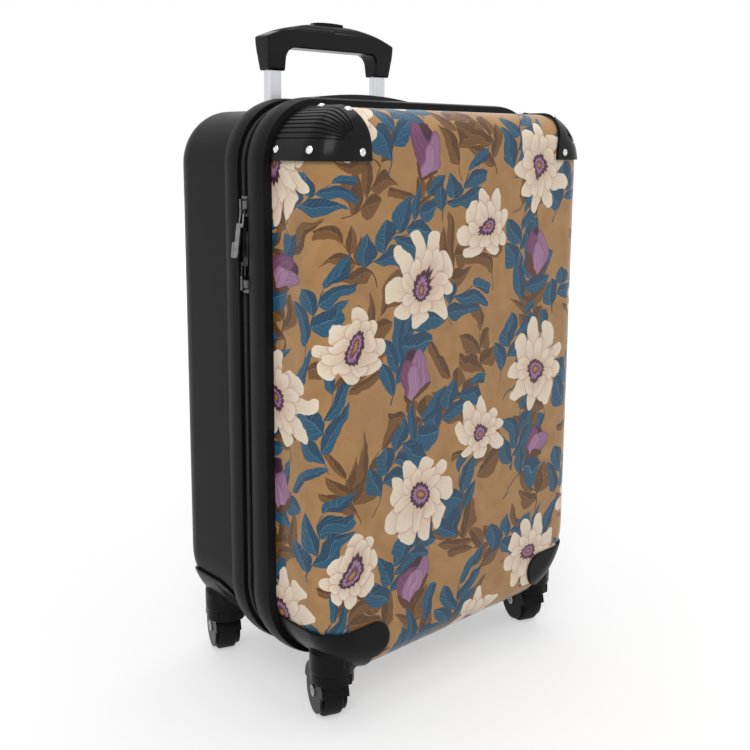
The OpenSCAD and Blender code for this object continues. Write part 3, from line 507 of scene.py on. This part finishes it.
# A closed bud: cupped oval petals, one behind the other, and two narrow sepals.
MAUVE, PALE, SEPAL = srgb(138, 84, 122), srgb(190, 142, 178), srgb(104, 66, 34)
BUD_PETALS = [(0.0, 0.56, 0.44, 0.30, PLUM), (0.3, 0.5, 0.46, 0.25, MAUVE), (-0.3, 0.5, 0.46, 0.25, LILAC),
              (0.0, 0.36, 0.34, 0.2, PALE), (0.85, 0.24, 0.26, 0.07, SEPAL), (-0.85, 0.24, 0.26, 0.07, SEPAL)]
bud, i, end = group_tree("bud", {"Motif": "Vector", "Size": "Float"}, {"Field": "Float", "Color": "Color"})
part = split(bud, i["Motif"])
bud_x, bud_y = calc(bud, "DIVIDE", part[0], i["Size"]), calc(bud, "DIVIDE", part[1], i["Size"])
colour, field = PLUM, 0.0
for tilt, middle, long, wide, tone in BUD_PETALS:
    along, over = tilted(bud, bud_x, bud_y, tilt)
    along = calc(bud, "DIVIDE", less(bud, along, middle), long)
    over = calc(bud, "DIVIDE", over, wide)
    out = calc(bud, "ADD", times(bud, along, along), times(bud, over, over))
    cover = clamped(bud, times(bud, less(bud, 1.0, out), 14.0))
    line = times(bud, calc(bud, "ABSOLUTE", calc(bud, "SINE", times(bud, over, 7.0))), 0.35)
    edge = times(bud, calc(bud, "POWER", out, 3.0), 0.75)
    full = tint(bud, clamped(bud, calc(bud, "MAXIMUM", line, edge)), tone, PLUM)
    colour = tint(bud, cover, colour, full)
    field = calc(bud, "MAXIMUM", field, cover)
feed(bud, end, {"Color": colour, "Field": field})

TEAL = (srgb(30, 66, 92), srgb(40, 92, 120), srgb(112, 158, 182))
BROWN = (srgb(92, 60, 30), srgb(128, 88, 46), srgb(176, 132, 84))
SPRIGS = [((104.0, 118.0, 1.0), (-6, 116, 0), 60.0, 120.0, 2.0, 0.004, 36.0, BROWN),
          ((78.0, 95.0, 1.0), (22, 130, 0), 120.0, 80.0, 2.0, 0.004, 31.0, BROWN),
          ((78.0, 95.0, 1.0), (-18, 88, 0), 75.0, 70.0, 2.0, -0.005, 34.0, TEAL),
          ((156.0, 95.0, 1.0), (-54, 146, 0), 25.0, 60.0, 2.0, 0.005, 37.0, TEAL)]
CELL = (156.0, 190.0, 1.0)
BUD_PLACE, BUD_SIZE = (-62, 188, 0), 40.0
BLOSSOMS = [((20, 143, 0), 32.0, 8.0), ((-58, 96, 0), 41.0, 9.0)]


def print_colour(tree, u, v):
    """Lays the print's layers over its ground and returns the colour."""
    flat = joined(tree, u, v)
    at = flat
    for scale, reach in ((0.022, 30.0), (0.11, 3.0)):
        drift = noise(tree, flat, scale, 1.0, noise_dimensions="2D")["Color"]
        drift = vector(tree, "SUBTRACT", drift, (0.5, 0.5, 0.5))
        at = vector(tree, "ADD", at, vector(tree, "MULTIPLY", drift, (reach, reach, 0)))
    mottle = noise(tree, at, 0.05, 4.0, noise_dimensions="2D")[0]
    brush = noise(tree, at, 0.5, 3.0, noise_dimensions="2D")[0]
    dry = ramp(tree, brush, 0.56, 0.7, high=0.45)
    colour = tint(tree, ramp(tree, mottle, 0.3, 0.7), srgb(170, 127, 78), srgb(184, 141, 91))
    for cell, place, turn, sway, count, bow, size, ink in SPRIGS:
        spot = use(tree, repeat, {"At": at, "Cell": cell, "Place": place, "Turn": turn, "Sway": sway})
        leaves = use(tree, sprig, {"Motif": spot["Motif"], "Count": count, "Bow": bow, "Leaf": size})
        fill = tint(tree, times(tree, leaves["Half"], 0.75), ink[0], ink[1])
        fill = tint(tree, dry, fill, ink[1])
        fill = tint(tree, times(tree, leaves["Veins"], 0.55), fill, ink[2])
        colour = tint(tree, leaves["Stem"], colour, ink[0])
        colour = tint(tree, leaves["Field"], colour, fill)
    spot = use(tree, repeat, {"At": at, "Cell": CELL, "Place": BUD_PLACE, "Turn": 80.0, "Sway": 90.0})
    flower = use(tree, bud, {"Motif": spot["Motif"], "Size": BUD_SIZE})
    colour = tint(tree, flower["Field"], colour, flower["Color"])
    for place, radius, petals in BLOSSOMS:
        spot = use(tree, repeat, {"At": at, "Cell": CELL, "Place": place, "Turn": petals, "Sway": 120.0})
        flower = use(tree, blossom, {"Motif": spot["Motif"], "Radius": radius, "Petals": petals})
        colour = tint(tree, flower["Field"], colour, flower["Color"])
    return colour


EDGE_BEND = 26.0
FLAT_W, FLAT_H = 139.5, 214.5
FRONT_FACE, MID_HEIGHT = -113, 287


def unfolded(tree, side, flat, back, past):
    """Distance along the formed sheet from its middle: over the flat, round the edge, down the side."""
    out = calc(tree, "ABSOLUTE", side)
    edge = clamped(tree, less(tree, out, flat), EDGE_BEND)
    bend = times(tree, calc(tree, "ARCTAN2", edge, less(tree, EDGE_BEND, back)), EDGE_BEND)
    down = times(tree, past, calc(tree, "DIVIDE", edge, EDGE_BEND))
    total = calc(tree, "ADD", calc(tree, "ADD", calc(tree, "MINIMUM", out, flat), bend), down)
    return times(tree, calc(tree, "SIGN", side), total)


printed_gloss, tree, shader, at = blank("printed_gloss")
place = put(tree, "ShaderNodeMapping", {"Vector": at, "Scale": (1000, 1000, 1000),
                                        "Location": (0, -FRONT_FACE, -MID_HEIGHT)}).outputs[0]
place = split(tree, place)
back = clamped(tree, place[1], EDGE_BEND)
past = calc(tree, "MAXIMUM", less(tree, place[1], EDGE_BEND), 0.0)
u, v = unfolded(tree, place[0], FLAT_W, back, past), unfolded(tree, place[2], FLAT_H, back, past)
skin = use(tree, moulded_grain, {"Vector": at, "Grain": 420.0, "Cloud": 30.0})
bump = put(tree, "ShaderNodeBump", {"Height": skin["Height"], "Strength": 0.06, "Distance": 0.0002})
feed(tree, shader, {"Base Color": print_colour(tree, u, v), "Normal": bump.outputs[0],
                    "Roughness": ramp(tree, skin["Tone"], 0.0, 1.0, 0.28, 0.36),
                    "Specular IOR Level": 0.25, "Coat Weight": 0.15, "Coat Roughness": 0.1})
dress(printed_gloss, "front_shell")


# Corner guards: two ribbed caps of hard black plastic over the top corners of the printed half, each
# held by five polished rivets.
guard_black = plastic("guard_black", srgb(16, 15, 16), srgb(22, 21, 22), 0.28, 900, 0.1, 0.0006, coat=0.1)
dress(guard_black, "left_corner_guard", "right_corner_guard")


def metal(name, dark, pale, rough, grain, edge):
    """Bare metal: cloudy polish, fine lengthwise scratches and rounded edges."""
    material, tree, shader, at = blank(name)
    skin = use(tree, moulded_grain, {"Vector": at, "Grain": grain, "Cloud": 180.0})
    rubbed = put(tree, "ShaderNodeMapping", {"Vector": at, "Scale": (400.0, 400.0, 5200.0)}).outputs[0]
    scratch = noise(tree, rubbed, 1.0, 3.0)[0]
    rounded = put(tree, "ShaderNodeBevel", {"Radius": edge}, samples=4).outputs[0]
    bump = put(tree, "ShaderNodeBump", {"Height": scratch, "Strength": 0.06, "Distance": 0.0001,
                                        "Normal": rounded})
    feed(tree, shader, {"Base Color": tint(tree, skin["Tone"], dark, pale), "Normal": bump.outputs[0],
                        "Roughness": ramp(tree, scratch, 0.0, 1.0, rough - 0.05, rough + 0.08),
                        "Metallic": 1.0})
    return material


dress(metal("rivet_polish", srgb(206, 204, 202), srgb(232, 231, 230), 0.16, 600.0, 0.0005), "guard_rivets")


# Wheel housings: smooth black corner mouldings screwed on from inside. Each goes from the caster's
# round well into two arms along the bottom edges of its half.
CORNERS = ("front_left", "front_right", "rear_left", "rear_right")
housing_black = plastic("housing_black", srgb(15, 15, 16), srgb(21, 20, 22), 0.32, 900, 0.1, 0.0012)
for corner in CORNERS:
    housing = soft_copy(corner + "_housing", corner + "_wheel_housing", 0.0012, 6, housing_black)
    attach(housing, "lid" if corner.startswith("front") else "case")


# Casters: a moulded fork that swivels on a steel kingpin, and one wheel with a soft grey-black tread
# on a steel axle. All four are alike.
fork_black = plastic("fork_black", srgb(14, 14, 15), srgb(19, 19, 20), 0.34, 900, 0.12, 0.0006)
wheel_black = plastic("wheel_black", srgb(20, 20, 21), srgb(30, 30, 31), 0.55, 500, 0.3, 0.0008)
pin_steel = metal("pin_steel", srgb(150, 150, 152), srgb(186, 186, 188), 0.3, 700.0, 0.0003)
for corner in CORNERS:
    dress(fork_black, corner + "_fork")
    dress(wheel_black, corner + "_wheel")
    dress(pin_steel, corner + "_axle", corner + "_kingpin")


# Zip sliders and pulls: die-cast zinc in a dark nickel plate, lighter on the upper pull and nearly
# black on the lower one. Each slider straddles both coils, and its pull swings on a loop.
slider_nickel = metal("slider_nickel", srgb(74, 74, 76), srgb(112, 111, 113), 0.24, 800.0, 0.0004)
pull_nickel = metal("pull_nickel", srgb(108, 107, 107), srgb(142, 141, 141), 0.28, 800.0, 0.0004)
pull_dark = metal("pull_dark", srgb(40, 40, 42), srgb(58, 58, 60), 0.34, 800.0, 0.0004)
dress(slider_nickel, "upper_zip_slider", "lower_zip_slider")
dress(pull_nickel, "upper_zip_pull")
dress(pull_dark, "lower_zip_pull")


# Floor: a plain pale studio sweep under the case, matt and clean. It fades into the white background
# and keeps the case's soft shadow.
bpy.ops.object.select_all(action="DESELECT")
bpy.ops.mesh.primitive_plane_add(size=16, location=(0, 0, 0))
floor = bpy.context.active_object
floor.name = "floor"
floor_white, tree, shader, at = blank("floor_white")
path = put(tree, "ShaderNodeLightPath").outputs
seen = calc(tree, "MAXIMUM", path["Is Camera Ray"], path["Is Glossy Ray"])
far = put(tree, "ShaderNodeVectorMath", {0: at}, operation="LENGTH").outputs["Value"]
glow = ramp(tree, far, 0.4, 2.4, 0.47, 0.8)
feed(tree, shader, {"Base Color": (0.6, 0.6, 0.6, 1), "Roughness": 0.9, "Emission Color": (1, 1, 1, 1),
                    "Emission Strength": times(tree, seen, glow)})
floor.data.materials.append(floor_white)


# Light: an even white room, with one large soft box high on the front left and a weaker one overhead.
# They give the long soft reflections on the black plastic.
world = bpy.data.worlds.new("studio")
bpy.context.scene.world = world
world.use_nodes = True
tree = world.node_tree
path = put(tree, "ShaderNodeLightPath").outputs
seen = calc(tree, "MAXIMUM", path["Is Camera Ray"], path["Is Glossy Ray"])
seen = calc(tree, "MAXIMUM", seen, path["Is Transmission Ray"])
feed(tree, tree.nodes["Background"], {"Color": (1, 1, 1, 1),
                                      "Strength": ramp(tree, seen, 0.0, 1.0, 0.5, 1.0)})
LAMP_AIM = Vector((0, 0, 0.3))
LAMPS = [("key_box", (-1.5, -1.5, 1.9), 1.2, 24), ("top_box", (0.2, 0.2, 2.4), 1.6, 16)]
for name, place, size, power in LAMPS:
    bpy.ops.object.select_all(action="DESELECT")
    bpy.ops.object.light_add(type="AREA", location=place)
    lamp = bpy.context.active_object
    lamp.name = name
    lamp.data.size = size
    lamp.data.energy = power
    lamp.rotation_euler = (LAMP_AIM - Vector(place)).to_track_quat("-Z", "Y").to_euler()


# Camera: a normal lens a little above the middle of the case, towards its front left edge. It looks
# down by nine degrees, and a shift of the lens puts the case in the middle of the picture.
YAW, PITCH, ROLL = math.radians(-42.62), math.radians(90 - 9.33), math.radians(0.32)
bpy.ops.object.select_all(action="DESELECT")
bpy.ops.object.camera_add(location=(-0.65453, -0.70337, 0.4963))
camera = bpy.context.active_object
turn = Matrix.Rotation(YAW, 4, "Z") @ Matrix.Rotation(PITCH, 4, "X") @ Matrix.Rotation(ROLL, 4, "Z")
camera.rotation_euler = turn.to_euler()
camera.data.lens = 47.99
camera.data.sensor_width = 36
camera.data.shift_x = -0.0015
camera.data.shift_y = -0.0853
bpy.context.scene.camera = camera
